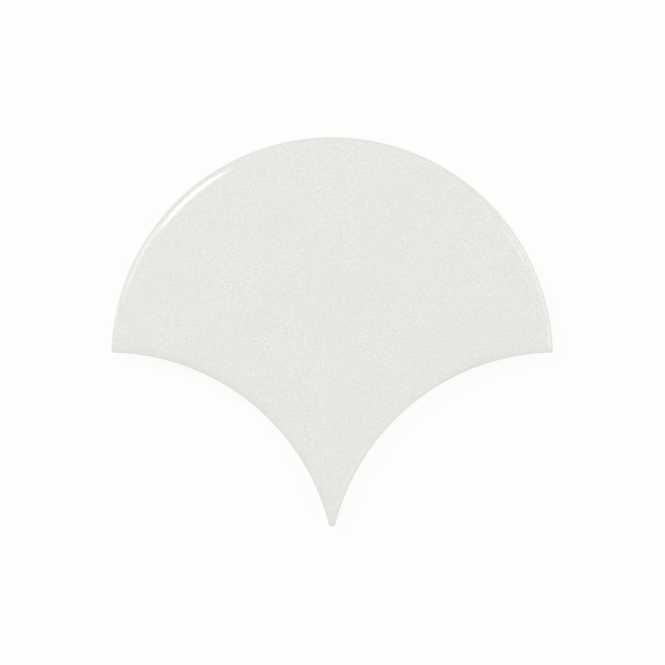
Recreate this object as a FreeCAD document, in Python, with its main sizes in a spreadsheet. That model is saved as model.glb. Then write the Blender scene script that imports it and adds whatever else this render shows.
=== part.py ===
import FreeCAD, Part
import math
import os

import Sketcher

# A fish scale (fan) wall tile: one dust-pressed piece of white clay with a gloss glaze.
# Frame: the origin is the centre of the round upper edge, on the plane of the back.
# +X runs across the tile, +Y to the top of the round edge, -Y to the point, +Z out of the face.

# Driving dimensions, in millimetres and degrees.
SIZES = {
    "crown_radius": 60.0,  # round upper edge; its diameter is the width of the tile
    "joint_width": 2.0,  # gap that the hollow flanks leave to the round tiles of the next row
    "row_pitch": 60.5,  # distance between the centres of two rows
    "corner_radius": 0.6,  # rounding of the two side corners, seen from above
    "point_radius": 1.0,  # rounding of the point at the lower end, seen from above
    "thickness": 8.5,
    "cushion_width": 3.2,  # how far in from the edge the face begins to fall
    "cushion_slope": 30.0,  # how steep that fall is where the nosing takes over
    "nosing_radius": 0.8,  # small rounding between the cushioned face and the side
    "draft_angle": 2.0,  # lean of the pressed sides, narrower at the back
    "rim_width": 5.0,  # plain rim round the keyed field of the back
    "field_corner": 1.5,  # rounding of the keyed field's three corners
    "key_depth": 0.8,
    "groove_width": 5.0,  # at the mouth
    "rib_width": 3.0,  # flat top of a rib between two grooves
    "key_flank": 0.4,  # how far a groove narrows to its floor, on each side
}

# What follows from the driving dimensions, as expressions on the sheet.
HALF_PITCH = "(sizes.crown_radius + sizes.joint_width / 2)"
FLANK_RADIUS = "(sizes.crown_radius + sizes.joint_width)"
CUSHION_RADIUS = (
    "((sizes.cushion_width - sizes.nosing_radius) / sin(sizes.cushion_slope) + sizes.nosing_radius)"
)
EDGE_DROP = (
    f"({CUSHION_RADIUS} * (1 - cos(sizes.cushion_slope))"
    " + sizes.nosing_radius * cos(sizes.cushion_slope))"
)
SHOULDER = f"(sizes.thickness - {EDGE_DROP})"
KEY_PITCH = "(sizes.groove_width + sizes.rib_width)"

TRIM = 1.0  # how much larger the blank is than the tile, all round
CLEAR = 2.0  # how far a cutting profile reaches past the clay that stays
OVERRUN = "3 deg"  # how far the cuts of the long edges run on past their ends

START, END, CENTRE = 1, 2, 3  # the points of an arc or a line in a sketch's constraints
ORIGIN, VERTICAL = (-1, 1), -2  # a sketch's origin point and vertical axis

doc = FreeCAD.newDocument("fish_scale_tile")
sheet = doc.addObject("Spreadsheet::Sheet", "sizes")
for line, (alias, value) in enumerate(SIZES.items(), start=1):
    sheet.set(f"A{line}", alias)
    sheet.set(f"B{line}", str(value))
    sheet.setAlias(f"B{line}", alias)
doc.recompute()


def worth(expression):
    """The number that an expression on the sheet comes to."""
    found = sheet.evalExpression(expression.replace("sizes.", ""))
    return float(getattr(found, "Value", found))


def bind(thing, expressions):
    """Lets properties of an object follow expressions on the sheet."""
    for name, expression in expressions.items():
        thing.setExpression(name, expression)


def origin_feature(body, role):
    """One of a body's own origin planes or axes."""
    return next(feature for feature in body.Origin.OriginFeatures if feature.Role == role)


def new_sketch(body, name, role):
    """An empty sketch on one of the body's origin planes."""
    sketch = body.newObject("Sketcher::SketchObject", name)
    sketch.AttachmentSupport = (origin_feature(body, role), "")
    sketch.MapMode = "FlatFace"
    return sketch


def arc(centre, radius, start, end):
    """A counter-clockwise arc between two angles in degrees."""
    circle = Part.Circle(FreeCAD.Vector(*centre, 0), FreeCAD.Vector(0, 0, 1), radius)
    return Part.ArcOfCircle(circle, math.radians(start), math.radians(end))


def segment(start, end):
    """A straight line between two points of a sketch."""
    return Part.LineSegment(FreeCAD.Vector(*start, 0), FreeCAD.Vector(*end, 0))


def drive(sketch, name, expression, kind, *where):
    """A dimension of the sketch that follows an expression on the sheet."""
    index = sketch.addConstraint(Sketcher.Constraint(kind, *where, worth(expression)))
    sketch.renameConstraint(index, name)
    sketch.setExpression(f"Constraints.{name}", expression)


class Fan:
    """The fan outline: a round crown, two hollow flanks and three rounded tips.

    The flanks are arcs about the centres of two tiles of the next row. All six arcs run into each
    other without a corner. inset moves the whole outline inwards.
    """

    def __init__(self, inset, corner, point):
        self.crown = f"(sizes.crown_radius - {inset})"
        self.flank = f"({FLANK_RADIUS} + {inset})"
        self.corner = corner
        self.point = point
        # The corner's arc is centred where the crown and the flank, each moved in by its radius, cross.
        from_crown = f"({self.crown} - {corner})"
        from_flank = f"({self.flank} + {corner})"
        span = f"sqrt({HALF_PITCH} ^ 2 + sizes.row_pitch ^ 2)"
        along = f"(({from_crown} ^ 2 - {from_flank} ^ 2 + {span} ^ 2) / (2 * {span}))"
        aside = f"sqrt({from_crown} ^ 2 - {along} ^ 2)"
        self.corner_x = f"(({along} * {HALF_PITCH} + {aside} * sizes.row_pitch) / {span})"
        self.corner_y = f"(({aside} * {HALF_PITCH} - {along} * sizes.row_pitch) / {span})"
        # The point's arc is centred on the tile's own axis, moved in from both flanks.
        self.point_y = f"(sqrt(({self.flank} + {point}) ^ 2 - {HALF_PITCH} ^ 2) - sizes.row_pitch)"
        # Headings at which one arc takes over from the next, seen from the tips' centres.
        self.crown_heading = f"atan2({self.corner_y}; {self.corner_x})"
        self.flank_heading = (
            f"atan2(-sizes.row_pitch - {self.corner_y}; {HALF_PITCH} - {self.corner_x})"
        )
        self.point_heading = f"atan2(-sizes.row_pitch - {self.point_y}; {HALF_PITCH})"

    def draw(self, sketch):
        """Puts the outline into a sketch, with every size driven by the sheet."""
        hub_x, hub_y = worth(HALF_PITCH), -worth("sizes.row_pitch")
        corner_x, corner_y = worth(self.corner_x), worth(self.corner_y)
        corner, flank = worth(self.corner), worth(self.flank)
        top, low, point = worth(self.crown_heading), worth(self.flank_heading), worth(self.point_heading)
        ring = [
            arc((0, 0), worth(self.crown), top, 180 - top),
            arc((-corner_x, corner_y), corner, 180 - top, 180 - low),
            arc((-hub_x, hub_y), flank, -point, -low),
            arc((0, worth(self.point_y)), worth(self.point), 180 - point, 360 + point),
            arc((hub_x, hub_y), flank, 180 + low, 180 + point),
            arc((corner_x, corner_y), corner, low, top),
        ]
        crown, left_tip, left_flank, bottom_tip, right_flank, right_tip = sketch.addGeometry(ring)
        seams = (
            (crown, END, left_tip, START),
            (left_tip, END, left_flank, END),
            (left_flank, START, bottom_tip, START),
            (bottom_tip, END, right_flank, END),
            (right_flank, START, right_tip, START),
            (right_tip, END, crown, START),
        )
        for seam in seams:
            sketch.addConstraint(Sketcher.Constraint("Tangent", *seam))
        sketch.addConstraint(Sketcher.Constraint("Coincident", crown, CENTRE, *ORIGIN))
        sketch.addConstraint(
            Sketcher.Constraint("Symmetric", left_flank, CENTRE, right_flank, CENTRE, VERTICAL)
        )
        sketch.addConstraint(Sketcher.Constraint("Equal", left_flank, right_flank))
        sketch.addConstraint(Sketcher.Constraint("Equal", left_tip, right_tip))
        drive(sketch, "crown", self.crown, "Radius", crown)
        drive(sketch, "flank", self.flank, "Radius", right_flank)
        drive(sketch, "corner", self.corner, "Radius", right_tip)
        drive(sketch, "point", self.point, "Radius", bottom_tip)
        drive(sketch, "half_pitch", HALF_PITCH, "DistanceX", *ORIGIN, right_flank, CENTRE)
        drive(sketch, "row_pitch", "sizes.row_pitch", "DistanceY", right_flank, CENTRE, *ORIGIN)


def draw_edge(sketch, edge, hollow):
    """The air that surrounds the tile's edge, as a profile to turn about the sketch's vertical axis.

    From the flat of the face the cushion arc falls away, the nosing arc turns it down, and the
    pressed side leans in towards the back. edge is the distance of the edge from the axis. The clay
    lies inside that distance, or outside it on a hollow flank.
    """
    way = -1 if hollow else 1  # the direction from the clay to the air
    rim, level = worth(edge), worth(SHOULDER)
    width, slope = worth("sizes.cushion_width"), worth("sizes.cushion_slope")
    cushion, nosing = worth(CUSHION_RADIUS), worth("sizes.nosing_radius")
    lean = math.tan(math.radians(worth("sizes.draft_angle")))
    face = worth("sizes.thickness")
    flat = rim - way * width
    foot = (rim - way * lean * (level + CLEAR), -CLEAR)
    outer = rim + way * CLEAR
    roof = face + CLEAR

    def bend(where, radius, top_angle, low_angle):
        """An arc of the profile, from its upper to its lower angle as on a round edge."""
        if hollow:
            return arc(where, radius, 180 - top_angle, 180 - low_angle)
        return arc(where, radius, low_angle, top_angle)

    def outward(inner_point, outer_point):
        """Two points of the profile, named from the clay to the air, in the order in which x grows."""
        return (*outer_point, *inner_point) if hollow else (*inner_point, *outer_point)

    cushion_arc, nosing_arc, side, floor, wall, ceiling, inner = sketch.addGeometry(
        [
            bend((flat, face - cushion), cushion, 90, 90 - slope),
            bend((rim - way * nosing, level), nosing, 90 - slope, 0),
            segment((rim, level), foot),
            segment(foot, (outer, foot[1])),
            segment((outer, foot[1]), (outer, roof)),
            segment((outer, roof), (flat, roof)),
            segment((flat, roof), (flat, face)),
        ]
    )
    high, low = (START, END) if hollow else (END, START)
    brink = (nosing_arc, low)
    sketch.addConstraint(Sketcher.Constraint("Tangent", cushion_arc, low, nosing_arc, high))
    chain = (
        (*brink, side, START),
        (side, END, floor, START),
        (floor, END, wall, START),
        (wall, END, ceiling, START),
        (ceiling, END, inner, START),
        (inner, END, cushion_arc, high),
    )
    for link in chain:
        sketch.addConstraint(Sketcher.Constraint("Coincident", *link))
    for level_line in (floor, ceiling):
        sketch.addConstraint(Sketcher.Constraint("Horizontal", level_line))
    for upright_line in (wall, inner):
        sketch.addConstraint(Sketcher.Constraint("Vertical", upright_line))
    sketch.addConstraint(Sketcher.Constraint("Horizontal", nosing_arc, CENTRE, *brink))
    sketch.addConstraint(Sketcher.Constraint("Vertical", cushion_arc, CENTRE, cushion_arc, high))
    drive(sketch, "edge", edge, "DistanceX", *ORIGIN, *brink)
    drive(sketch, "shoulder", SHOULDER, "DistanceY", *ORIGIN, *brink)
    drive(sketch, "nosing", "sizes.nosing_radius", "Radius", nosing_arc)
    drive(sketch, "cushion", CUSHION_RADIUS, "Radius", cushion_arc)
    lean_in = f"({SHOULDER} + {CLEAR}) * tan(sizes.draft_angle)"
    drive(sketch, "width", "sizes.cushion_width", "DistanceX", *outward((cushion_arc, CENTRE), brink))
    drive(sketch, "lean", lean_in, "DistanceX", *outward((side, END), brink))
    drive(sketch, "outer", f"{CLEAR}", "DistanceX", *outward(brink, (wall, START)))
    drive(sketch, "foot", f"{CLEAR}", "DistanceY", floor, START, *ORIGIN)
    drive(sketch, "roof", f"sizes.thickness + {CLEAR}", "DistanceY", *ORIGIN, wall, END)


def draw_tip(sketch, radius):
    """The clay of a rounded tip, with the same edge as elsewhere, as a profile to turn about its axis.

    Where the radius is less than the cushion's width, the cushion arc ends at the axis before it
    reaches the flat of the face.
    """
    rim, level = worth(radius), worth(SHOULDER)
    width, slope = worth("sizes.cushion_width"), worth("sizes.cushion_slope")
    cushion, nosing = worth(CUSHION_RADIUS), worth("sizes.nosing_radius")
    face = worth("sizes.thickness")
    foot = rim - level * math.tan(math.radians(worth("sizes.draft_angle")))
    pointed = rim < width
    top = face - cushion + math.sqrt(cushion**2 - (width - rim) ** 2) if pointed else face
    top_angle = math.degrees(math.acos((width - rim) / cushion)) if pointed else 90
    cushion_arc, nosing_arc, side, floor, axis = sketch.addGeometry(
        [
            arc((rim - width, face - cushion), cushion, 90 - slope, top_angle),
            arc((rim - nosing, level), nosing, 0, 90 - slope),
            segment((rim, level), (foot, 0)),
            segment((foot, 0), (0, 0)),
            segment((0, 0), (0, top)),
        ]
    )
    brink = (nosing_arc, START)
    crest = (cushion_arc, END)
    if not pointed:
        flat = sketch.addGeometry(segment((rim - width, face), (0, face)))
        sketch.addConstraint(Sketcher.Constraint("Coincident", flat, START, *crest))
        sketch.addConstraint(Sketcher.Constraint("Horizontal", flat))
        sketch.addConstraint(Sketcher.Constraint("Vertical", cushion_arc, CENTRE, *crest))
        crest = (flat, END)
    sketch.addConstraint(Sketcher.Constraint("Tangent", cushion_arc, START, nosing_arc, END))
    sketch.addConstraint(Sketcher.Constraint("Coincident", *brink, side, START))
    sketch.addConstraint(Sketcher.Constraint("Coincident", side, END, floor, START))
    sketch.addConstraint(Sketcher.Constraint("Coincident", floor, END, axis, START))
    sketch.addConstraint(Sketcher.Constraint("Coincident", axis, START, *ORIGIN))
    sketch.addConstraint(Sketcher.Constraint("Coincident", axis, END, *crest))
    sketch.addConstraint(Sketcher.Constraint("Horizontal", floor))
    sketch.addConstraint(Sketcher.Constraint("Vertical", axis))
    sketch.addConstraint(Sketcher.Constraint("Horizontal", nosing_arc, CENTRE, *brink))
    drive(sketch, "edge", radius, "DistanceX", *ORIGIN, *brink)
    drive(sketch, "shoulder", SHOULDER, "DistanceY", *ORIGIN, *brink)
    drive(sketch, "nosing", "sizes.nosing_radius", "Radius", nosing_arc)
    drive(sketch, "cushion", CUSHION_RADIUS, "Radius", cushion_arc)
    drive(sketch, "width", "sizes.cushion_width", "DistanceX", cushion_arc, CENTRE, *brink)
    drive(sketch, "lean", f"{SHOULDER} * tan(sizes.draft_angle)", "DistanceX", side, END, *brink)


def draw_wedge(sketch, reach):
    """An upright strip from the axis outwards, higher and lower than the tile, to cut a sharp tip off."""
    out, low, high = worth(reach), -CLEAR, worth("sizes.thickness") + CLEAR
    ring = [(0, low), (out, low), (out, high), (0, high)]
    floor, wall, ceiling, axis = sketch.addGeometry(
        [segment(ring[number - 4], ring[number - 3]) for number in range(4)]
    )
    for line, following in ((floor, wall), (wall, ceiling), (ceiling, axis), (axis, floor)):
        sketch.addConstraint(Sketcher.Constraint("Coincident", line, END, following, START))
    for level_line in (floor, ceiling):
        sketch.addConstraint(Sketcher.Constraint("Horizontal", level_line))
    sketch.addConstraint(Sketcher.Constraint("Vertical", wall))
    sketch.addConstraint(Sketcher.Constraint("PointOnObject", axis, START, VERTICAL))
    sketch.addConstraint(Sketcher.Constraint("PointOnObject", axis, END, VERTICAL))
    drive(sketch, "reach", reach, "DistanceX", floor, START, floor, END)
    drive(sketch, "foot", f"{CLEAR}", "DistanceY", floor, START, *ORIGIN)
    drive(sketch, "roof", f"sizes.thickness + {CLEAR}", "DistanceY", *ORIGIN, wall, END)


def turned(body, kind, name, x, y, start, angle, draw, *sizes):
    """A feature that turns a drawn profile about an upright axis at x, y, from a starting heading."""
    sketch = new_sketch(body, f"{name}_profile", "XZ_Plane")
    draw(sketch, *sizes)
    # The sketch lies in the XZ plane, so its second axis is upright and its third points to -Y.
    sketch.AttachmentOffset = FreeCAD.Placement(
        FreeCAD.Vector(worth(x), 0, -worth(y)), FreeCAD.Rotation(FreeCAD.Vector(0, 1, 0), worth(start))
    )
    bind(
        sketch,
        {
            "AttachmentOffset.Base.x": x,
            "AttachmentOffset.Base.z": f"-{y}",
            "AttachmentOffset.Rotation.Angle": start,
        },
    )
    feature = body.newObject(kind, name)
    feature.Profile = sketch
    feature.ReferenceAxis = (sketch, ["V_Axis"])
    feature.Angle = worth(angle)
    bind(feature, {"Angle": angle})
    doc.recompute()
    return feature


def rounded_tip(body, name, radius, reach, *where):
    """Cuts a sharp tip off along two upright planes and fits a turned tip between them."""
    sharp = turned(body, "PartDesign::Groove", f"sharp_{name}", *where, draw_wedge, reach)
    tip = turned(body, "PartDesign::Revolution", f"round_{name}", *where, draw_tip, radius)
    return [sharp, tip]


def make_tile_body():
    """The pressed tile with its cushioned face: a blank, trimmed by its edge profile all round."""
    fan = Fan("0", "sizes.corner_radius", "sizes.point_radius")
    larger = Fan(f"-{TRIM}", f"({fan.corner} + {TRIM})", f"({fan.point} + {TRIM})")
    body = doc.addObject("PartDesign::Body", "tile_body")
    outline = new_sketch(body, "blank_outline", "XY_Plane")
    larger.draw(outline)
    blank = body.newObject("PartDesign::Pad", "blank")
    blank.Profile = outline
    bind(blank, {"Length": "sizes.thickness"})
    doc.recompute()

    hub_y = "(-sizes.row_pitch)"
    start = f"({fan.crown_heading} - {OVERRUN})"
    angle = f"(180 deg - 2 * {start})"
    groove = "PartDesign::Groove"
    turned(body, groove, "crown_edge", "0", "0", start, angle, draw_edge, fan.crown, False)

    start = f"(180 deg + {fan.flank_heading} - {OVERRUN})"
    angle = f"({fan.point_heading} - {fan.flank_heading} + 2 * {OVERRUN})"
    flank = turned(body, groove, "flank_edge", HALF_PITCH, hub_y, start, angle, draw_edge, fan.flank, True)

    reach = f"(2 * {fan.corner} + {TRIM} + {CLEAR})"
    angle = f"({fan.crown_heading} - {fan.flank_heading})"
    where = (fan.corner_x, fan.corner_y, fan.flank_heading, angle)
    corner = rounded_tip(body, "corner", fan.corner, reach, *where)

    left = body.newObject("PartDesign::Mirrored", "left_edges")
    left.Originals = [flank, *corner]
    left.MirrorPlane = (origin_feature(body, "YZ_Plane"), [""])
    body.Tip = left
    doc.recompute()

    reach = f"({fan.point_y} + sizes.row_pitch + {CLEAR})"
    start = f"(180 deg - {fan.point_heading})"
    angle = f"(180 deg + 2 * {fan.point_heading})"
    rounded_tip(body, "point", fan.point, reach, "0", fan.point_y, start, angle)
    return body


def make_key():
    """The keyed field of the back that grips the adhesive: straight grooves within a plain rim."""
    fan = Fan("sizes.rim_width", "sizes.field_corner", "sizes.field_corner")
    body = doc.addObject("PartDesign::Body", "key_field")
    outline = new_sketch(body, "field_outline", "XY_Plane")
    fan.draw(outline)
    field = body.newObject("PartDesign::Pad", "field")
    field.Profile = outline
    bind(field, {"Length": "sizes.key_depth"})
    doc.recompute()

    # A rib lies on the tile's centre, so the first groove is half a pitch from it on either side.
    pitch = worth(KEY_PITCH)
    span = field.Shape.BoundBox
    first = math.ceil((span.YMin + worth("sizes.groove_width") / 2) / pitch - 0.5)
    last = math.floor((span.YMax - worth("sizes.groove_width") / 2) / pitch - 0.5)
    # Each is a wedge that lies along X and narrows upwards, from its mouth to its floor.
    section = {
        "Xmin": "-sizes.crown_radius",
        "Xmax": "sizes.crown_radius",
        "X2min": "-sizes.crown_radius",
        "X2max": "sizes.crown_radius",
        "Ymin": "0",
        "Ymax": "sizes.key_depth",
        "Zmin": "-sizes.groove_width / 2",
        "Zmax": "sizes.groove_width / 2",
        "Z2min": "sizes.key_flank - sizes.groove_width / 2",
        "Z2max": "sizes.groove_width / 2 - sizes.key_flank",
    }
    grooves = []
    for number in range(first, last + 1):
        groove = doc.addObject("Part::Wedge", f"key_groove_{len(grooves) + 1:02d}")
        groove.Placement.Rotation = FreeCAD.Rotation(FreeCAD.Vector(1, 0, 0), 90)
        bind(groove, section)
        bind(groove, {"Placement.Base.y": f"{number + 0.5} * {KEY_PITCH}"})
        grooves.append(groove)
    strips = doc.addObject("Part::Compound", "key_strips")
    strips.Links = grooves
    key = doc.addObject("Part::Common", "key")
    key.Base = strips
    key.Tool = body
    doc.recompute()
    return key


tile = doc.addObject("Part::Cut", "tile")
tile.Label = "fish_scale_tile"
tile.Base = make_tile_body()
tile.Tool = make_key()
doc.recompute()

for thing in doc.Objects:
    if {"Invalid", "Error"} & set(thing.State):
        raise RuntimeError(f"{thing.Label} did not build: {thing.State}")
if tile.Shape.isNull() or not tile.Shape.isValid() or len(tile.Shape.Solids) != 1:
    raise RuntimeError("the tile is not one valid solid")

os.makedirs("parts", exist_ok=True)
tile.Shape.exportStep(f"parts/{tile.Label}.step")
box = tile.Shape.optimalBoundingBox()
print(f"{tile.Label}: {box.XLength:.2f} x {box.YLength:.2f} x {box.ZLength:.2f} mm")
print(f"{tile.Shape.Volume:.0f} mm3 of clay in {len(tile.Shape.Faces)} faces")
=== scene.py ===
# %% [markdown]
# # A glazed fish scale tile
#
# This lesson dresses one fan-shaped wall tile. On the real object a powder of white clay is pressed
# hard in a steel die, sprayed with glaze on its face and fired once. So the tile is a single piece with
# two surfaces: glass over the face and the upper edge, and bare matt clay below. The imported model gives
# the place and the size of everything. It is loaded first and nothing in it is moved.

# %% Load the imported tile
import math

import bpy
import numpy as np
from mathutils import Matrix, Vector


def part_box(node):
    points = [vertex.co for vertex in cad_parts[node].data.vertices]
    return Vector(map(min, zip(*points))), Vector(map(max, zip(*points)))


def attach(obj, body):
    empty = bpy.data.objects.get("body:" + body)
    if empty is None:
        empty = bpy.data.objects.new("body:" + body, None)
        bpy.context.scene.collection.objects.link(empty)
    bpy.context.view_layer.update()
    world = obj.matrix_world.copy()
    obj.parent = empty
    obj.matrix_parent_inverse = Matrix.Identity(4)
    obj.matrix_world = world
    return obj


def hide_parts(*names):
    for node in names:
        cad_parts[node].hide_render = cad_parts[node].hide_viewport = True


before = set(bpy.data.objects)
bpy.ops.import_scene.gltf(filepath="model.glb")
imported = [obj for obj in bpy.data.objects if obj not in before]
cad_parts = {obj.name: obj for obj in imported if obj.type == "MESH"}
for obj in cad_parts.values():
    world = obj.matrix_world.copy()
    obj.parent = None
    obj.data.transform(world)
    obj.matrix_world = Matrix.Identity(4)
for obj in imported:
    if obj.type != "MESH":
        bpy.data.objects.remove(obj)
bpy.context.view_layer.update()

MM = 0.001  # metres
NODE = "fish_scale_tile"

cad_low, cad_high = (np.array(corner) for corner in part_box(NODE))
print("nodes:", sorted(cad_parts), "size in mm:", np.round((cad_high - cad_low) / MM, 2))

# %% [markdown]
# ## Sizes
#
# Blender works in metres, but a tile maker thinks in millimetres, so every size here is in millimetres
# and the finished mesh is scaled once, at the end. The outline needs only five numbers: the radius of
# the round crown, the joint to the next row, the distance between the rows and the radii of the tips.
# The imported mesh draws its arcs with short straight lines, which lie a hair inside them. The new
# surface is drawn finer, so it starts from an outline that is smaller by that hair.

# %% Sizes of the outline, in millimetres
HAIR = 0.02
CROWN_RADIUS = 60.0 - HAIR
JOINT = 2.0 + 2 * HAIR
ROW_PITCH = 60.5
CORNER_RADIUS = 0.6
POINT_RADIUS = 1.0
THICKNESS = float(cad_high[2]) / MM

FLANK_RADIUS = CROWN_RADIUS + JOINT
HUB = np.array([CROWN_RADIUS + JOINT / 2, -ROW_PITCH])
print(f"thickness {THICKNESS:.2f} mm, right flank turns about {HUB} with radius {FLANK_RADIUS:.2f} mm")

# %% [markdown]
# ## The edge in section
#
# Cut through the edge of the tile and look at it from the side. The flat face bends down in a wide
# cushion arc, a small nosing arc takes over and turns it upright, and the pressed side leans in towards
# the back so that the tile leaves its die. A bevel modifier could round the edge, but it can't make two
# arcs of different radius that meet smoothly. So the section is written down as points: each one has a
# distance in from the edge and a height.

# %% The cushion and the nosing as points of depth and height
CUSHION_WIDTH = 3.2
CUSHION_SLOPE = math.radians(30)
NOSING_RADIUS = 0.8
CUSHION_RADIUS = (CUSHION_WIDTH - NOSING_RADIUS) / math.sin(CUSHION_SLOPE) + NOSING_RADIUS
SHOULDER = (
    THICKNESS
    - CUSHION_RADIUS * (1 - math.cos(CUSHION_SLOPE))
    - NOSING_RADIUS * math.cos(CUSHION_SLOPE)
)
NOSING_STEPS = 9
CUSHION_STEPS = 18


def edge_section():
    """Depth in from the edge and height above the back, from the shoulder up to the flat of the face.

    On the nosing, an angle turns up from level: depth is radius x (1 - cosine) and height is shoulder
    + radius x sine. On the cushion, a slope falls to nothing: depth is width - radius x sine and height
    is thickness - radius x (1 - cosine).
    """
    turn = np.linspace(0, math.pi / 2 - CUSHION_SLOPE, NOSING_STEPS)
    slope = np.linspace(CUSHION_SLOPE, 0, CUSHION_STEPS)[1:]
    depth = np.concatenate(
        [NOSING_RADIUS * (1 - np.cos(turn)), CUSHION_WIDTH - CUSHION_RADIUS * np.sin(slope)]
    )
    height = np.concatenate(
        [SHOULDER + NOSING_RADIUS * np.sin(turn), THICKNESS - CUSHION_RADIUS * (1 - np.cos(slope))]
    )
    return depth, height


edge_depth, edge_height = edge_section()
print(f"{len(edge_depth)} points from {edge_height[0]:.2f} mm up to {edge_height[-1]:.2f} mm")

# %% [markdown]
# ## The keyed back
#
# Straight grooves on the back let the adhesive grip. A Boolean modifier could cut them out of a plain
# back, but it leaves long thin faces that shade badly. Here they are planned before the outline is
# sampled, because the mesh of the back will run in lines straight across the tile, and a line is wanted
# exactly at every edge of every groove.

# %% Plan the grooves of the back
KEY_DEPTH = 0.8
GROOVE_WIDTH = 5.0
RIB_WIDTH = 3.0
KEY_FLANK = 0.4
RIM_WIDTH = 5.0
KEY_PITCH = GROOVE_WIDTH + RIB_WIDTH

half_mouth = GROOVE_WIDTH / 2
half_floor = half_mouth - KEY_FLANK
field_top = CROWN_RADIUS - RIM_WIDTH
field_end = math.sqrt((FLANK_RADIUS + RIM_WIDTH) ** 2 - HUB[0] ** 2) - ROW_PITCH
# The grooves lie half a pitch off the centre of the crown's arc, and only whole ones are kept
first_groove = math.ceil((field_end + half_mouth) / KEY_PITCH - 0.5)
last_groove = math.floor((field_top - half_mouth) / KEY_PITCH - 0.5)
groove_middles = (np.arange(first_groove, last_groove + 1) + 0.5) * KEY_PITCH
groove_edges = np.array([-half_mouth, -half_floor, half_floor, half_mouth])
groove_lines = (groove_middles[:, None] + groove_edges).ravel()
print(f"{len(groove_middles)} grooves, {len(groove_lines)} lines across the back")

# %% [markdown]
# ## The outline
#
# Seen from above, half of the fan is four arcs that run into each other: the crown, the side corner,
# the hollow flank and half of the point. A curve object could hold them, but an arc is easier to move
# in or out when each sample keeps its centre, its direction, its radius and whether it is round or
# hollow. Moving the outline in by some distance then only changes the radii, so the side of the tile
# and its back follow the very same samples.

# %% Where the four arcs of the right half begin and end
hub_distance = np.hypot(*HUB)
hub_way = HUB / hub_distance
to_corner = CROWN_RADIUS - CORNER_RADIUS
flank_to_corner = FLANK_RADIUS + CORNER_RADIUS
along = (to_corner**2 - flank_to_corner**2 + hub_distance**2) / (2 * hub_distance)
aside = math.sqrt(to_corner**2 - along**2)
CORNER = along * hub_way + aside * np.array([-hub_way[1], hub_way[0]])
POINT = np.array([0.0, math.sqrt((FLANK_RADIUS + POINT_RADIUS) ** 2 - HUB[0] ** 2) - ROW_PITCH])


def heading(start, end):
    """The direction from one point to another, in radians."""
    return math.atan2(end[1] - start[1], end[0] - start[0])


crown_end = heading((0, 0), CORNER)
flank_start = heading(HUB, CORNER)
flank_end = heading(HUB, POINT)
print(f"corner centre {np.round(CORNER, 2)}, point centre {np.round(POINT, 2)} mm")

# %% [markdown]
# ## Samples on the arcs
#
# Even steps would do for a round tile, but here the tips are small and the crown is large, so the
# samples crowd towards the tips. The foot of the tile lies a little inside its edge, by the lean of the
# die, the glaze's thickness and a small rounding. Wherever the foot crosses a line of a groove, a sample
# is put in, and the nearest ordinary ones are taken out so that no face becomes a sliver.

# %% Where the foot crosses the lines of the grooves
LEAN = math.tan(math.radians(2.0))
BARE_SET_BACK = 0.1  # the bare clay lies this much behind the glaze that stops above it
FOOT_ROUNDING = 0.2

foot_inset = SHOULDER * LEAN + BARE_SET_BACK + FOOT_ROUNDING
crown_rise = groove_lines / (CROWN_RADIUS - foot_inset)
crown_marks = np.arcsin(np.clip(crown_rise, -1, 1))
flank_rise = (groove_lines - HUB[1]) / (FLANK_RADIUS + foot_inset)
flank_marks = math.pi - np.arcsin(np.clip(flank_rise, -1, 1))
print(f"the foot lies {foot_inset:.2f} mm inside the edge")

# %% Sample the arcs, denser towards the tips
CROWN_STEPS = 220
FLANK_STEPS = 160
CORNER_STEPS = 15
POINT_STEPS = 15
CROWN_CROWDING = 1.3  # a power: at 1 the samples are even, and above 1 they crowd at the corner
FLANK_CROWDING = 0.85  # at 0 the samples are even, and at 1 they would meet at both ends
LEAST_ANGLE = math.radians(0.18)


def with_marks(angles, marks):
    """Rising angles along an arc, with the marked ones put in and their nearest neighbours taken out."""
    marks = marks[(marks > angles[0] + LEAST_ANGLE) & (marks < angles[-1] - LEAST_ANGLE)]
    apart = np.abs(angles[:, None] - marks[None, :]).min(axis=1) > LEAST_ANGLE
    apart[[0, -1]] = True
    return np.sort(np.concatenate([angles[apart], marks]))


share = np.linspace(0, 1, CROWN_STEPS)
crown_angles = crown_end + (math.pi / 2 - crown_end) * share**CROWN_CROWDING
crown_angles = with_marks(crown_angles, crown_marks)[::-1]

share = np.linspace(0, 1, FLANK_STEPS)
crowding = FLANK_CROWDING * np.sin(2 * math.pi * share) / (2 * math.pi)
flank_angles = flank_start + (flank_end - flank_start) * (share - crowding)
flank_angles = with_marks(flank_angles, flank_marks)

corner_angles = np.linspace(crown_end, flank_start - math.pi, CORNER_STEPS)
point_angles = np.linspace(flank_end - math.pi, -math.pi / 2, POINT_STEPS)
print(len(crown_angles), "samples on the crown,", len(flank_angles), "on the flank")

# %% Put the half outline together, and mirror it to a ring
ROUND, HOLLOW = 1.0, -1.0

arcs = (
    (np.zeros(2), CROWN_RADIUS, ROUND, crown_angles[:-1]),
    (CORNER, CORNER_RADIUS, ROUND, corner_angles[:-1]),
    (HUB, FLANK_RADIUS, HOLLOW, flank_angles[:-1]),
    (POINT, POINT_RADIUS, ROUND, point_angles),
)
half_angle = np.concatenate([angles for *_, angles in arcs])
half_centre = np.concatenate([np.tile(centre, (len(angles), 1)) for centre, _, _, angles in arcs])
half_radius = np.concatenate([np.full(len(angles), radius) for _, radius, _, angles in arcs])
half_kind = np.concatenate([np.full(len(angles), kind) for _, _, kind, angles in arcs])
HALF = len(half_angle)
RING = 2 * HALF - 2
ring_source = np.concatenate([np.arange(HALF), np.arange(HALF - 2, 0, -1)])
ring_side = np.concatenate([np.ones(HALF), -np.ones(HALF - 2)])


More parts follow.
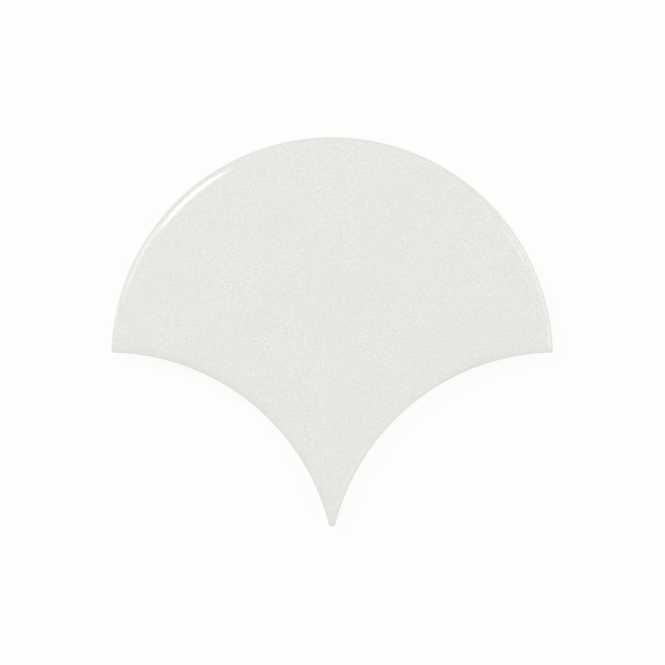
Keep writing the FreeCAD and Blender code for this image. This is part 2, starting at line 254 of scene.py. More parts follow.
def outline(inset):
    """The ring of points that lies inset millimetres inside the edge, clockwise from the crown's top.

    Each sample is centre + direction x radius, and a round arc loses the inset where a hollow one gains
    it. The left half mirrors the right. inset is one number, or rows of one for each point of the ring.
    """
    reach = half_radius[ring_source] - half_kind[ring_source] * inset
    way = np.stack([np.cos(half_angle), np.sin(half_angle)], axis=1)[ring_source]
    points = half_centre[ring_source] + way * reach[..., None]
    return points * np.stack([ring_side, np.ones(RING)], axis=1)


edge = outline(0.0)
print(RING, "points round the edge, size", np.round(np.ptp(edge, axis=0), 2), "mm")

# %% [markdown]
# ## How far in is a point?
#
# The height of the face depends only on how far in from the edge a point lies. With three long edges
# there are three distances, and the smallest counts. Taking the plain minimum would leave a sharp crease
# where two cushions meet at a tip. On the real tile the glaze flows over that crease. So two distances
# are joined by a small circle that touches both, which rounds every level line by the same radius, and
# the outermost one to just the radius of the tip.

# %% Distance from the edge, with soft mitres at the tips
MITRE_GROWTH = 0.5  # the mitres get rounder towards the middle of the tile
TINY = 1e-6  # keeps a division away from nothing


def round_minimum(first, second, leaning, tip):
    """The smaller of two distances, with a circle of radius k fitted where they are nearly equal.

    leaning is the cosine between the two inward directions. With s and c the sine and the cosine of
    half the angle between the edges, and y the sideways distance, (first - second) / 2c, the joined
    distance is (first + second) / 2 + s x root(k^2 - y^2) - k. At the edge k is the tip's own radius.
    """
    middle = (first + second) / 2
    k = tip + MITRE_GROWTH * np.clip(middle - tip, 0, CUSHION_WIDTH)
    s = np.sqrt(np.clip((1 + leaning) / 2, 0, 1))
    c = np.sqrt(np.clip((1 - leaning) / 2, TINY, 1))
    y = (first - second) / (2 * c)
    rounded = middle + s * np.sqrt(np.clip(k**2 - y**2, 0, None)) - k
    return np.where(np.abs(y) < k * c, rounded, np.minimum(first, second))


def edge_distance(points):
    """How far in from the edge each point lies: the crown and the two flanks, joined in pairs.

    In from a round edge is radius - distance from its centre, and in from a hollow one the reverse.
    """
    long_edges = (
        (np.zeros(2), CROWN_RADIUS, ROUND),
        (HUB, FLANK_RADIUS, HOLLOW),
        (HUB * [-1, 1], FLANK_RADIUS, HOLLOW),
    )
    distances, ways = [], []
    for centre, radius, kind in long_edges:
        arm = points - centre
        length = np.linalg.norm(arm, axis=-1)
        distances.append(kind * (radius - length))
        ways.append(-kind * arm / np.maximum(length, TINY)[..., None])
    pairs = ((0, 1, CORNER_RADIUS), (0, 2, CORNER_RADIUS), (1, 2, POINT_RADIUS))
    joined = [
        round_minimum(distances[a], distances[b], (ways[a] * ways[b]).sum(axis=-1), tip)
        for a, b, tip in pairs
    ]
    return np.minimum.reduce(joined)


off = np.abs(edge_distance(edge))
print(f"the edge itself is at distance 0 within {off.max():.3f} mm")

# %% [markdown]
# ## The face
#
# The cushion could be made by insetting the outline ring by ring, but rings from a tight tip would
# cross each other long before the cushion ends. From a point a little above the middle every part of
# the edge can be seen, so straight rays from there cover the whole face once. The rings of the mesh are
# level lines: each ray is followed in from the edge until the distance matches the section's next point.
# Halving the interval again and again finds that place for all rays at once.

# %% Rings of the face from the edge to the middle
SEEING_POINT = np.array([0.0, 9.0])
RAY_REACH = 0.7  # the cushion ends before this share of the way in
HALVINGS = 40
# Rings of the flat, as shares of the way out from the seeing point to the end of the cushion
FLAT_SHARES = np.array([0.965, 0.92, 0.86, 0.79, 0.71, 0.62, 0.53, 0.44, 0.35, 0.26, 0.17, 0.08])


def level_rings(depths):
    """For each depth, the points of the rays at which the distance from the edge equals that depth."""
    shape = (len(depths), RING)
    near, far = np.zeros(shape), np.full(shape, RAY_REACH)
    target = np.asarray(depths)[:, None]
    ray = SEEING_POINT - edge
    for _ in range(HALVINGS):
        middle = (near + far) / 2
        short = edge_distance(edge + middle[..., None] * ray) < target
        near, far = np.where(short, middle, near), np.where(short, far, middle)
    return edge + ((near + far) / 2)[..., None] * ray


cushion_rings = np.concatenate([edge[None], level_rings(edge_depth[1:])])
flat_rings = SEEING_POINT + FLAT_SHARES[:, None, None] * (cushion_rings[-1] - SEEING_POINT)
face_plan = np.concatenate([cushion_rings, flat_rings])
face_height = np.concatenate([edge_height, np.full(len(FLAT_SHARES), THICKNESS)])
print("face rings:", len(face_plan))

# %% [markdown]
# ## Waves in the glaze
#
# Molten glaze never sets quite flat: it leaves waves of about a hundredth of a millimetre, which make a
# reflection look poured and not printed. A bump map could fake them, but real heights stay in the mesh
# itself and look right from low down. They die out towards the edge and never rise above the
# tile's thickness.

# %% Glaze waves on the face
WAVE_HEIGHT = 0.014
WAVES = (  # length in mm, heading in degrees, phase
    (46.0, 20.0, 0.4),
    (37.0, 101.0, 2.2),
    (29.0, 63.0, 4.1),
    (23.0, 152.0, 1.3),
)


def glaze_wave(points):
    """A sum of four slow sine waves over the face, as a height in mm."""
    total = np.zeros(points.shape[:-1])
    for length, degrees, phase in WAVES:
        turn = math.radians(degrees)
        along_wave = points @ np.array([math.cos(turn), math.sin(turn)])
        total += np.sin(2 * math.pi * along_wave / length + phase)
    return WAVE_HEIGHT * total / len(WAVES)


inward = np.clip(edge_distance(face_plan) / CUSHION_WIDTH, 0, 1) ** 2
face_z = face_height[:, None] + inward * (glaze_wave(face_plan) - WAVE_HEIGHT)
middle_z = THICKNESS + float(glaze_wave(SEEING_POINT)) - WAVE_HEIGHT
face_points = np.concatenate([face_plan, face_z[..., None]], axis=-1)
print(f"the face waves between {face_z[-1].min():.3f} and {face_z.max():.3f} mm")

# %% [markdown]
# ## The side and the glaze line
#
# The spray reaches a little way down the side and stops in an uneven line. Above it the side is glass,
# below it bare clay that lies a tenth of a millimetre deeper. A painted line would look flat from the
# side, so the rows of the mesh follow the line up and down and step back below it. At the bottom a
# small quarter circle rounds the foot.

# %% The glaze line and the heights of the rows
GLAZE_LINE = 3.4
LINE_WAVES = (  # waves round the tile, height in mm, phase
    (5, 0.34, 0.4),
    (13, 0.26, 2.0),
    (31, 0.14, 1.1),
    (77, 0.07, 0.3),
    (163, 0.035, 2.6),
)
BEAD_ROWS = np.array([0.55, 0.3, 0.14, 0.05, -0.03, -0.1])  # mm above the line
UPPER_ROWS = 5
LOWER_ROWS = 6

step_lengths = np.linalg.norm(np.roll(edge, -1, axis=0) - edge, axis=1)
way_round = 2 * math.pi * (np.cumsum(step_lengths) - step_lengths) / step_lengths.sum()
line_waves = [size * np.sin(count * way_round + phase) for count, size, phase in LINE_WAVES]
glaze_line = GLAZE_LINE + sum(line_waves)

bead_rows = glaze_line + BEAD_ROWS[:, None]
upper, lower = bead_rows[0], bead_rows[-1]
upper_rows = SHOULDER + (upper - SHOULDER) * np.linspace(0, 1, UPPER_ROWS + 1)[1:-1, None]
lower_rows = lower + (FOOT_ROUNDING - lower) * np.linspace(0, 1, LOWER_ROWS + 1)[1:, None]
row_z = np.concatenate([upper_rows, bead_rows, lower_rows])
print(f"glaze line between {glaze_line.min():.2f} and {glaze_line.max():.2f} mm above the back")

# %% How far in the rows lie, and the rounded foot
FOOT_STEPS = 4

# From 0 at the bead's lowest row to 1 at its second, and between them the bead is a quarter of an oval
above_line = (row_z - glaze_line - BEAD_ROWS[-1]) / (BEAD_ROWS[1] - BEAD_ROWS[-1])
set_back = BARE_SET_BACK * np.sqrt(1 - np.clip(above_line, 0, 1) ** 2)
row_inset = (SHOULDER - row_z) * LEAN + set_back

foot_turn = np.linspace(0, math.pi / 2, FOOT_STEPS + 1)[1:, None] * np.ones(RING)
foot_z = FOOT_ROUNDING * (1 - np.sin(foot_turn))
foot_rows = row_inset[-1] + FOOT_ROUNDING * (1 - np.cos(foot_turn))
side_z = np.concatenate([row_z, foot_z])
side_plan = outline(np.concatenate([row_inset, foot_rows]))
side_points = np.concatenate([side_plan, side_z[..., None]], axis=-1)
print("side:", len(side_points), "rows from the shoulder to the foot")

# %% [markdown]
# ## The back
#
# Each line of the back joins a sample of the right edge to its mirror image on the left. Across a line
# the height is nothing on the rim, and inside the keyed field it follows the groove's section. Two
# columns stand close together where a groove ends, so the end wall is nearly upright. The samples of the
# tight side corners lie almost level, and lines from them would be slivers, so the back leaves them out
# and closes each corner with a small fan.

# %% Depth and width of the grooves along the back
corner_first = len(crown_angles) - 1
corner_last = corner_first + CORNER_STEPS - 1
lined = np.concatenate([np.arange(1, corner_first + 1), np.arange(corner_last, HALF - 1)])
line_half, line_y = side_points[-1, lined, 0], side_points[-1, lined, 1]


def field_half_width(y):
    """Half the width of the keyed field at a height y, which keeps the rim's width from every edge."""
    round_part = np.sqrt(np.clip((CROWN_RADIUS - RIM_WIDTH) ** 2 - y**2, 0, None))
    hollow_reach = np.sqrt(np.clip((FLANK_RADIUS + RIM_WIDTH) ** 2 - (y - HUB[1]) ** 2, 0, None))
    return np.minimum(round_part, HUB[0] - hollow_reach)


def groove_depth(y):
    """Depth of the grooves at a height y: full on the floor, falling to nothing over each flank."""
    from_middle = np.abs(y[:, None] - groove_middles).min(axis=1)
    return KEY_DEPTH * np.clip((half_mouth - from_middle) / KEY_FLANK, 0, 1)


depth = groove_depth(line_y)
print(len(lined), "lines across the back, grooves up to", depth.max(), "mm deep")

# %% Points of the lines across the back
END_WALL = 0.2
RIM_COLUMNS = np.array([0.0, 0.25, 0.6, 1.0])  # shares of the way from the groove's end to the edge
FIELD_COLUMNS = np.array([0.0, 0.25, 0.5, 0.75, 1.0])  # shares of the way to the foot of the end wall
LEAST_FIELD, MOST_FIELD = 0.1, 0.97  # shares of a line
LEAST_FLOOR = 0.8  # share of the field, where a groove is hardly wider than its end walls

field = np.where(depth > TINY, field_half_width(line_y), line_half / 2)
field = np.clip(field, LEAST_FIELD * line_half, MOST_FIELD * line_half)
floor_half = np.maximum(field - END_WALL, LEAST_FLOOR * field)
floor_x = floor_half[:, None] * FIELD_COLUMNS
rim_x = field[:, None] + (line_half - field)[:, None] * RIM_COLUMNS
floor_z = np.repeat(depth[:, None], len(FIELD_COLUMNS), axis=1)
right_x = np.concatenate([floor_x, rim_x], axis=1)
right_z = np.concatenate([floor_z, np.zeros(rim_x.shape)], axis=1)

back_x = np.concatenate([-right_x[:, :0:-1], right_x], axis=1)
back_y = np.broadcast_to(line_y[:, None], back_x.shape)
back_z = np.concatenate([right_z[:, :0:-1], right_z], axis=1)
back_points = np.stack([back_x, back_y, back_z], axis=-1)
print("back:", back_points.shape[0], "lines of", back_points.shape[1], "points")

# %% [markdown]
# ## One closed skin
#
# Face, side and back are three grids of points. They share the ring at the shoulder and the ring at the
# foot. Three separate meshes could be merged by distance, but that has to guess which points belong
# together. Here a shared point simply has one number. The middle of the face, the top of the crown and
# the end of the point are poles, where the quads become triangles.

# %% Number the points
rings = np.concatenate([face_points[::-1], side_points])
ring_numbers = np.arange(rings.shape[0] * RING).reshape(-1, RING)
first_ring, foot_numbers = ring_numbers[0], ring_numbers[-1]
middle_number = ring_numbers.size

inner = back_points[:, 1:-1]
inner_numbers = middle_number + 1 + np.arange(inner.shape[0] * inner.shape[1]).reshape(inner.shape[:2])
back_numbers = np.column_stack([foot_numbers[RING - lined], inner_numbers, foot_numbers[lined]])
points = np.concatenate(
    [rings.reshape(-1, 3), [[*SEEING_POINT, middle_z]], inner.reshape(-1, 3)]
)
print(len(points), "points")

# %% List the faces


def bands(numbers, closed):
    """Quads between neighbouring rows of a grid of point numbers; closed joins each row's two ends."""
    if closed:
        numbers = np.concatenate([numbers, numbers[:, :1]], axis=1)
    return np.stack(
        [numbers[:-1, :-1], numbers[:-1, 1:], numbers[1:, 1:], numbers[1:, :-1]], axis=-1
    ).reshape(-1, 4)


def pole_fan(pole, first, second):
    """Triangles from one point to each pair of first and second points."""
    return np.column_stack([np.full(len(first), pole), first, second])


def corner_fan(arc):
    """Triangles between an arc of points and its chord, all from the arc's first point."""
    return pole_fan(arc[0], arc[1:-1], arc[2:])


top_line, end_line = back_numbers[0], back_numbers[-1]
quads = np.concatenate([bands(ring_numbers, True), bands(back_numbers, False)])
triangles = np.concatenate(
    [
        pole_fan(middle_number, np.roll(first_ring, -1), first_ring),
        pole_fan(foot_numbers[0], top_line[1:], top_line[:-1]),
        pole_fan(foot_numbers[HALF - 1], end_line[:-1], end_line[1:]),
        corner_fan(foot_numbers[corner_first : corner_last + 1]),
        corner_fan(foot_numbers[RING - corner_last : RING - corner_first + 1]),
    ]
)
print(len(quads), "quads,", len(triangles), "triangles")

# %% [markdown]
# ## The mesh and its painted numbers
#
# The two finishes could be two materials on two groups of faces, but a border between faces is a hard
# line, and a film of glaze also gets thinner by degrees. So two numbers go with every point, for one
# material to read. The first says whether there is glaze. The second says how thick the glaze lies: it
# pools on the flat and draws thin over the nosing.

# %% Make the object
SHARP_ANGLE = math.radians(50)  # only the edges of the grooves bend by more


def make_mesh(name, points, faces):
    """A mesh object at the origin whose points, given in mm, are scaled to metres."""
    mesh = bpy.data.meshes.new(name)
    mesh.from_pydata((points * MM).tolist(), [], faces)
    mesh.validate()
    mesh.update()
    thing = bpy.data.objects.new(name, mesh)
    bpy.context.scene.collection.objects.link(thing)
    return thing


tile = make_mesh("glazed_tile", points, quads.tolist() + triangles.tolist())
tile.data.shade_smooth()
tile.data.set_sharp_from_angle(angle=SHARP_ANGLE)
print(tile.name, len(tile.data.polygons), "faces")

# %% Paint the numbers on its points
FILM_REACH = 1.2  # mm in from the edge at which the film has its full thickness
SIDE_FILM = 0.35  # share of the full thickness that stays on the upright side

face_rows = len(face_points)
glazed_rows = face_rows + len(upper_rows) + int((BEAD_ROWS > 0).sum())
glazed = np.zeros(len(points))
glazed[ring_numbers[:glazed_rows]] = 1.0
glazed[middle_number] = 1.0

film = np.zeros(len(points))
film[ring_numbers[:face_rows]] = np.clip(edge_distance(face_plan[::-1]) / FILM_REACH, 0, 1)
film[ring_numbers[face_rows:glazed_rows]] = SIDE_FILM
film[middle_number] = 1.0

for name, values in (("glaze", glazed), ("film", film)):
    attribute = tile.data.attributes.new(name, "FLOAT", "POINT")
    attribute.data.foreach_set("value", values.astype(np.float32))
print(f"glaze on {glazed.mean():.0%} of the points")

# %% [markdown]
# ## Colours and nodes
#
# Colours are written as a painter would pick them on a screen, in hex, and one function turns them into
# the linear light that Blender mixes. Materials can be drawn by hand in the shader editor, but a script
# can be read and run again. So a second small function adds one node, sets it and links it.

# %% Helpers for materials


def linear(hex_colour):
    """An sRGB hex colour as linear red, green, blue and alpha.

    The curve and its numbers are the sRGB standard's own: a short straight start, then a power of 2.4.
    """
    channels = np.array([int(hex_colour[i : i + 2], 16) for i in (0, 2, 4)]) / 255
    light = np.where(channels <= 0.04045, channels / 12.92, ((channels + 0.055) / 1.055) ** 2.4)
    return (*light.tolist(), 1.0)


def per_metre(size):
    """The texture scale at which one feature is size millimetres across."""
    return 1 / (size * MM)


def empty_tree(owner):
    """The node tree of a material or a world, with nothing in it yet."""
    owner.use_nodes = True
    owner.node_tree.nodes.clear()
    return owner.node_tree


def add_node(tree, kind, inputs=None, **settings):
    """Adds one node: inputs are numbers, colours or sockets to link, settings are its own properties."""
    node = tree.nodes.new(kind)
    for name, value in settings.items():
        setattr(node, name, value)
    for name, value in (inputs or {}).items():
        if isinstance(value, bpy.types.NodeSocket):
            tree.links.new(value, node.inputs[name])
        else:
            node.inputs[name].default_value = value
    return node


print("glaze white in linear light:", np.round(linear("E8E7E3")[:3], 3))

# %% [markdown]
# ## Gloss glaze on pressed white clay
#
# The face is an opaque white gloss glaze: a layer of glass about a third of a millimetre thick, clouded
# by fine white crystals. Below the glaze line is the biscuit, which is what potters call fired clay
# without glaze. Two shaders and a Mix Shader could hold the two, but one shader is what other programs
# read most easily. So there is one, and the painted glaze number chooses its colour, its roughness and
# its relief.

# %% Start the material and read the painted numbers
FACTOR, FIRST, SECOND, MIXED = 0, 6, 7, 2  # the sockets of a Mix node that mixes colours
NOISE_MIDDLE, NOISE_SPREAD = 0.5, 0.2  # a noise mostly stays this near to its middle
NOISE_LOW, NOISE_HIGH = NOISE_MIDDLE - NOISE_SPREAD, NOISE_MIDDLE + NOISE_SPREAD

glazed_clay = bpy.data.materials.new("gloss_glaze_on_pressed_white_clay")
tree = empty_tree(glazed_clay)
place = add_node(tree, "ShaderNodeTexCoord").outputs["Object"]
glaze_here = add_node(tree, "ShaderNodeAttribute", attribute_name="glaze").outputs["Fac"]
film_here = add_node(tree, "ShaderNodeAttribute", attribute_name="film").outputs["Fac"]
print("material:", glazed_clay.name)

# %% [markdown]
# ## The white of the glaze
#
# To the eye the glaze is a warm white with hardly any pattern: a faint speckle where crystals gather,
# and clouds so pale that they are felt more than seen. Where the film is thin, over the nosing, fewer
# crystals lie in it and the white turns a shade greyer and cooler. A picture of a glaze could be wrapped
# round the tile, but a noise in three dimensions needs no unwrapping and has no seams.

# %% Speckle and clouds in the glaze
GLAZE_SPECKLE = 0.7  # mm; the crystals are far finer, and are drawn as the clusters that the eye sees
GLAZE_MOTTLE = 2.6
GLAZE_CLOUD = 14.0
MOTTLE_SHARE = 0.14

speckle_noise = add_node(
    tree, "ShaderNodeTexNoise", {"Vector": place, "Scale": per_metre(GLAZE_SPECKLE), "Detail": 1.0}
).outputs["Fac"]
mottle_noise = add_node(
    tree, "ShaderNodeTexNoise", {"Vector": place, "Scale": per_metre(GLAZE_MOTTLE)}
).outputs["Fac"]
mottled = add_node(
    tree,
    "ShaderNodeMath",
    {0: mottle_noise, 1: MOTTLE_SHARE, 2: speckle_noise},
    operation="MULTIPLY_ADD",
).outputs[0]
usual = NOISE_MIDDLE * (1 + MOTTLE_SHARE)
speckle = add_node(
    tree,
    "ShaderNodeMapRange",
    {"Value": mottled, "From Min": usual - NOISE_SPREAD, "From Max": usual + NOISE_SPREAD},
).outputs["Result"]
cloud_noise = add_node(
    tree, "ShaderNodeTexNoise", {"Vector": place, "Scale": per_metre(GLAZE_CLOUD)}
).outputs["Fac"]
cloud = add_node(
    tree, "ShaderNodeMapRange", {"Value": cloud_noise, "From Min": NOISE_LOW, "From Max": NOISE_HIGH}
).outputs["Result"]
print("glaze: speckle", GLAZE_SPECKLE, "mm, mottle", GLAZE_MOTTLE, "mm, clouds", GLAZE_CLOUD, "mm")

# %% Colour of the glaze
GLAZE_SHADE, GLAZE_LIGHT = "E2E1DD", "EEEDE9"
GLAZE_CLOUDED, CLOUD_SHARE = "E5E4DF", 0.3
GLAZE_THIN = "E3E3E0"

cloud_share = add_node(
    tree, "ShaderNodeMath", {0: cloud, 1: CLOUD_SHARE}, operation="MULTIPLY"
).outputs[0]
white = linear(GLAZE_SHADE)
for cover, tint in ((speckle, GLAZE_LIGHT), (cloud_share, GLAZE_CLOUDED)):
    white = add_node(
        tree, "ShaderNodeMix", {FACTOR: cover, FIRST: white, SECOND: linear(tint)}, data_type="RGBA"
    ).outputs[MIXED]
glaze_colour = add_node(
    tree,
    "ShaderNodeMix",
    {FACTOR: film_here, FIRST: linear(GLAZE_THIN), SECOND: white},
    data_type="RGBA",
).outputs[MIXED]
print("glaze between", GLAZE_SHADE, "and", GLAZE_LIGHT)

# %% [markdown]
# ## The cream of the bare clay
#
# The biscuit is cream and matt. Close up the eye finds grains of sand in it, patches that are a little
# browner, and some pores. The grains and the patches are noises of different sizes. The pores are the
# middles of Voronoi cells, because those lie about evenly apart, as bubbles in pressed powder do. Each
# pore is also painted a darker brown: painted shade in the pit, which the bump alone doesn't give.

# %% Grain, patches and pores in the clay
CLAY_GRAIN = 0.28  # mm
CLAY_PATCH = 5.0
PORE_SPACING = 1.1
PATCH_SPREAD, PATCH_SHARE = 0.15, 0.5
PORE_EDGES = (0.09, 0.16)  # shares of the spacing, from the floor of a pore to its rim

grain = add_node(
    tree, "ShaderNodeTexNoise", {"Vector": place, "Scale": per_metre(CLAY_GRAIN), "Detail": 4.0}
).outputs["Fac"]
grain_share = add_node(
    tree, "ShaderNodeMapRange", {"Value": grain, "From Min": NOISE_LOW, "From Max": NOISE_HIGH}
).outputs["Result"]
patch_noise = add_node(
    tree, "ShaderNodeTexNoise", {"Vector": place, "Scale": per_metre(CLAY_PATCH)}
).outputs["Fac"]
patch_share = add_node(
    tree,
    "ShaderNodeMapRange",
    {
        "Value": patch_noise,
        "From Min": NOISE_MIDDLE - PATCH_SPREAD,
        "From Max": NOISE_MIDDLE + PATCH_SPREAD,
        "To Max": PATCH_SHARE,
    },
).outputs["Result"]
from_pore = add_node(
    tree, "ShaderNodeTexVoronoi", {"Vector": place, "Scale": per_metre(PORE_SPACING)}
).outputs["Distance"]
pore = add_node(
    tree,
    "ShaderNodeMapRange",
    {
        "Value": from_pore,
        "From Min": PORE_EDGES[0],
        "From Max": PORE_EDGES[1],
        "To Min": 1.0,
        "To Max": 0.0,
    },
).outputs["Result"]
print("clay: grain", CLAY_GRAIN, "mm, pores about", PORE_SPACING, "mm apart")

# %% Colour of the clay
CLAY_DARK, CLAY_LIGHT = "D5C9B5", "EBE2D3"
CLAY_BROWN = "DDD0BC"
# The darker colour of the pores is painted shade in the pits
PORE_SHADE_COLOUR, PORE_SHADE_SHARE = "9C8F7C", 0.6

pore_shade_share = add_node(
    tree, "ShaderNodeMath", {0: pore, 1: PORE_SHADE_SHARE}, operation="MULTIPLY"
).outputs[0]
clay_colour = linear(CLAY_DARK)
for cover, tint in ((grain_share, CLAY_LIGHT), (patch_share, CLAY_BROWN), (pore_shade_share, PORE_SHADE_COLOUR)):
    clay_colour = add_node(
        tree,
        "ShaderNodeMix",
        {FACTOR: cover, FIRST: clay_colour, SECOND: linear(tint)},
        data_type="RGBA",
    ).outputs[MIXED]
print("clay between", CLAY_DARK, "and", CLAY_LIGHT)

# %% [markdown]
# ## Fine relief
#
# Reflections in the glaze ripple a little, like the skin of an orange. On the side of the biscuit the
# die leaves upright drag lines, and grains and pores roughen it everywhere. All of this is finer than
# the mesh, and faces small enough to hold it would be millions, so a Bump node tilts the light instead.
# Heights are in millimetres, and the node's distance turns them into metres.

# %% Relief of both surfaces
ORANGE_PEEL = 1.6  # mm
PEEL_HEIGHT = 0.003
DRAG_LINE = 0.35
DRAG_STRETCH = 0.06  # a drag line's width as a share of its length
DRAG_HEIGHT = 0.05
GRAIN_HEIGHT = 0.06
PORE_DEPTH = 0.06

peel_noise = add_node(
    tree, "ShaderNodeTexNoise", {"Vector": place, "Scale": per_metre(ORANGE_PEEL), "Detail": 1.0}
).outputs["Fac"]
peel = add_node(
    tree, "ShaderNodeMath", {0: peel_noise, 1: PEEL_HEIGHT}, operation="MULTIPLY"
).outputs[0]
upright = add_node(
    tree, "ShaderNodeMapping", {"Vector": place, "Scale": (1.0, 1.0, DRAG_STRETCH)}
).outputs["Vector"]
drag = add_node(
    tree, "ShaderNodeTexNoise", {"Vector": upright, "Scale": per_metre(DRAG_LINE)}
).outputs["Fac"]
relief = add_node(
    tree, "ShaderNodeMath", {0: drag, 1: DRAG_HEIGHT}, operation="MULTIPLY"
).outputs[0]
for pattern, size in ((grain, GRAIN_HEIGHT), (pore, -PORE_DEPTH)):
    relief = add_node(
        tree, "ShaderNodeMath", {0: pattern, 1: size, 2: relief}, operation="MULTIPLY_ADD"
    ).outputs[0]
height = add_node(
    tree, "ShaderNodeMapRange", {"Value": glaze_here, "To Min": relief, "To Max": peel}
).outputs["Result"]
bump = add_node(tree, "ShaderNodeBump", {"Height": height, "Distance": MM}).outputs["Normal"]
print("orange peel", PEEL_HEIGHT, "mm high, drag lines", DRAG_LINE, "mm apart")

# %% [markdown]
# ## One shader for glass and clay
#
# Glaze is glass, and the minerals of fired clay bend light about as much, so both take the refraction of
# common glass. What parts them is roughness: the glaze is nearly a mirror, a little softer where it is
# cloudy, and the clay has no shine at all.

# %% Join colour, roughness and relief
GLASS_IOR = 1.52
GLAZE_ROUGHNESS = (0.07, 0.11)
CLAY_ROUGHNESS = 0.88

gloss = add_node(
    tree,
    "ShaderNodeMapRange",
    {"Value": cloud, "To Min": GLAZE_ROUGHNESS[0], "To Max": GLAZE_ROUGHNESS[1]},
).outputs["Result"]
roughness = add_node(
    tree, "ShaderNodeMapRange", {"Value": glaze_here, "To Min": CLAY_ROUGHNESS, "To Max": gloss}
).outputs["Result"]
colour = add_node(
    tree,
    "ShaderNodeMix",
    {FACTOR: glaze_here, FIRST: clay_colour, SECOND: glaze_colour},
    data_type="RGBA",
).outputs[MIXED]
shader = add_node(
    tree,
    "ShaderNodeBsdfPrincipled",
    {"Base Color": colour, "Roughness": roughness, "Normal": bump, "IOR": GLASS_IOR},
).outputs["BSDF"]
add_node(tree, "ShaderNodeOutputMaterial", {"Surface": shader})
tile.data.materials.append(glazed_clay)
print(len(tree.nodes), "nodes in the material")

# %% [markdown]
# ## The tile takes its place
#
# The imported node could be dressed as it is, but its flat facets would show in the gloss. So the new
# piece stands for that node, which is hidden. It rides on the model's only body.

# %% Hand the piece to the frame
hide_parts(NODE)
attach(tile, "root")
print(tile.name, "stands for", NODE)

# %% [markdown]
# ## The table
#
# The tile lies on white card, which is matt and takes a soft shadow. Lit by the room alone, card comes
# out grey beside a white glaze. Stronger lamps would lift it, but they would burn out the tile as well.
# So the card has a little light of its own, shown only to the camera and to reflections. It lifts the
# card to paper white, and a trace of the shadow stays.

# %% White card
CARD_WHITE, PAPER_WHITE = "FAFAF9", "FFFFFF"
SHADE_SEEN = 0.12  # how much of the card's own light and shade is seen; the rest is paper white
TABLE_HALF = 1500.0  # mm


def seen_share(tree):
    """One for rays that are looked along, straight, in a reflection or through glass, and else nothing."""
    path = add_node(tree, "ShaderNodeLightPath").outputs
    seen = path["Is Camera Ray"]
    for ray in ("Is Glossy Ray", "Is Transmission Ray"):
        seen = add_node(
            tree, "ShaderNodeMath", {0: seen, 1: path[ray]}, operation="MAXIMUM"
        ).outputs[0]
    return seen


white_card = bpy.data.materials.new("white_card")
tree = empty_tree(white_card)
lift = add_node(
    tree, "ShaderNodeMath", {0: seen_share(tree), 1: 1 - SHADE_SEEN}, operation="MULTIPLY"
).outputs[0]
card = add_node(tree, "ShaderNodeBsdfDiffuse", {"Color": linear(CARD_WHITE)}).outputs[0]
paper = add_node(tree, "ShaderNodeEmission", {"Color": linear(PAPER_WHITE)}).outputs[0]
both = add_node(tree, "ShaderNodeMixShader", {0: lift, 1: card, 2: paper}).outputs[0]
add_node(tree, "ShaderNodeOutputMaterial", {"Surface": both})

corners = np.array([[-1.0, -1.0, 0.0], [1.0, -1.0, 0.0], [1.0, 1.0, 0.0], [-1.0, 1.0, 0.0]])
table = make_mesh("table", corners * TABLE_HALF, [[0, 1, 2, 3]])
table.data.materials.append(white_card)
print("table:", 2 * TABLE_HALF, "mm square")

# %% [markdown]
# ## The white room
#
# A product picture of a white tile needs light from everywhere, so that the face comes out as pale as
# its glaze. Walls and a ceiling could be built round it, but a world of one white does the same without
# any mesh. It is seen as paper white, and it lights the tile a little less than that, because the lamps
# add their share.

# %% One white all round
ROOM_LIGHT = 0.703

room = bpy.data.worlds.new("white_room")
tree = empty_tree(room)
strength = add_node(
    tree, "ShaderNodeMapRange", {"Value": seen_share(tree), "To Min": ROOM_LIGHT, "To Max": 1.0}
).outputs["Result"]
sky = add_node(
    tree, "ShaderNodeBackground", {"Color": linear(PAPER_WHITE), "Strength": strength}
).outputs[0]
add_node(tree, "ShaderNodeOutputWorld", {"Surface": sky})
bpy.context.scene.world = room
print("room light", ROOM_LIGHT)

# %% [markdown]
# ## The lamps
#
# Gloss shows as streaks of lamp light on the cushion. Its slope decides where a lamp must stand to be
# seen in it: a slope of half the lamp's angle from straight up. So the lamps are soft ovals at chosen
# angles, a bright strip at the upper left, paler panels at both sides and two wide fills. They are
# soft because a small bare lamp would draw hard white dots.

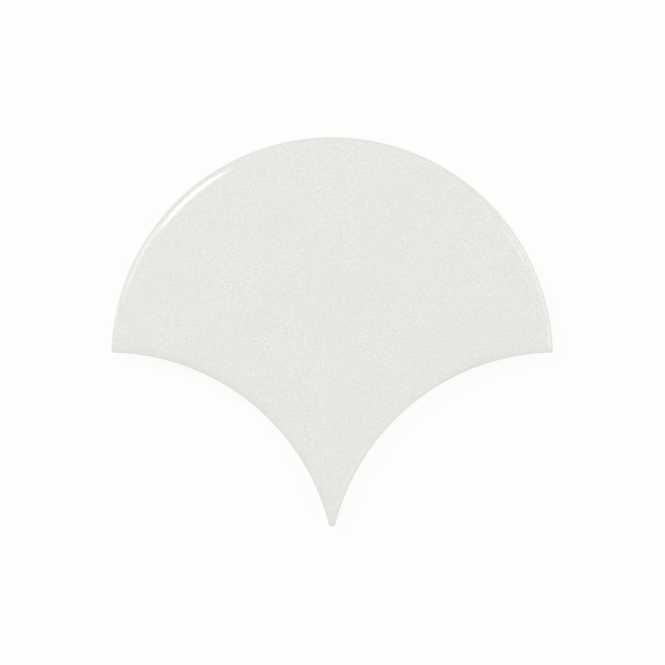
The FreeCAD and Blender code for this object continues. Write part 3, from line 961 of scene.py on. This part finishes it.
# %% Soft lamps round the tile
LAMPS = (  # name, azimuth and polar angle in degrees, length and width in metres, brightness
    ("strip_upper_left", 131.5, 36, 0.45, 0.24, 5.3),
    ("panel_left", 152, 49, 0.38, 0.32, 2.0),
    ("low_left", 170, 68, 0.34, 0.38, 1.6),
    ("window_right", 30, 33, 0.18, 0.13, 1.9),
    ("panel_right", 20, 57, 0.26, 0.60, 1.7),
    ("low_right", 17, 76, 0.30, 0.50, 1.3),
    ("fill_right", -25, 50, 0.50, 1.00, 0.6),
    ("fill_front", 270, 70, 0.60, 0.90, 0.5),
)


def add_lamp(name, azimuth, polar, length, width, brightness):
    """An oval lamp one metre away that faces the tile.

    It stands at an azimuth from +X and a polar angle from straight up. Its length runs away from
    straight up and its width across that. brightness is the light of its surface, with white paper in
    the room as 1: watts are brightness x pi x area.
    """
    turn, tilt = math.radians(azimuth), math.radians(polar)
    data = bpy.data.lights.new(name, "AREA")
    data.shape = "ELLIPSE"
    data.size, data.size_y = length, width
    data.energy = brightness * math.pi * (math.pi * length * width / 4)
    lamp = bpy.data.objects.new(name, data)
    lamp.location = (math.sin(tilt) * math.cos(turn), math.sin(tilt) * math.sin(turn), math.cos(tilt))
    lamp.rotation_euler = (0, tilt, turn)
    lamp.visible_camera = False
    bpy.context.scene.collection.objects.link(lamp)
    print(f"{name}: {data.energy:.2f} W")


for lamp_values in LAMPS:
    add_lamp(*lamp_values)

# %% [markdown]
# ## The camera
#
# The tile is seen from straight above, as in a shop's picture. An orthographic camera would show no side
# at all, but a real lens does show a little, so this one has perspective and stands far off. Its lens is
# worked out from the scale: so many pixels to a millimetre at the height of the tile's shoulder.

# %% Look straight down
PICTURE = 665  # pixels across the square picture
PIXELS_PER_MM = 3.681
CAMERA_HEIGHT = 1.4  # metres
SENSOR = 36.0  # mm
VIEW_CENTRE = (0.1, 6.94)  # mm from the centre of the crown's arc to the middle of the picture

field_width = PICTURE / PIXELS_PER_MM * MM
camera_data = bpy.data.cameras.new("camera")
camera_data.sensor_width = SENSOR
camera_data.lens = SENSOR * (CAMERA_HEIGHT - SHOULDER * MM) / field_width
camera = bpy.data.objects.new("camera", camera_data)
camera.location = (VIEW_CENTRE[0] * MM, VIEW_CENTRE[1] * MM, CAMERA_HEIGHT)
bpy.context.scene.collection.objects.link(camera)
bpy.context.scene.camera = camera
bpy.context.scene.view_settings.view_transform = "Standard"
print(f"lens {camera_data.lens:.0f} mm, field {field_width / MM:.1f} mm")
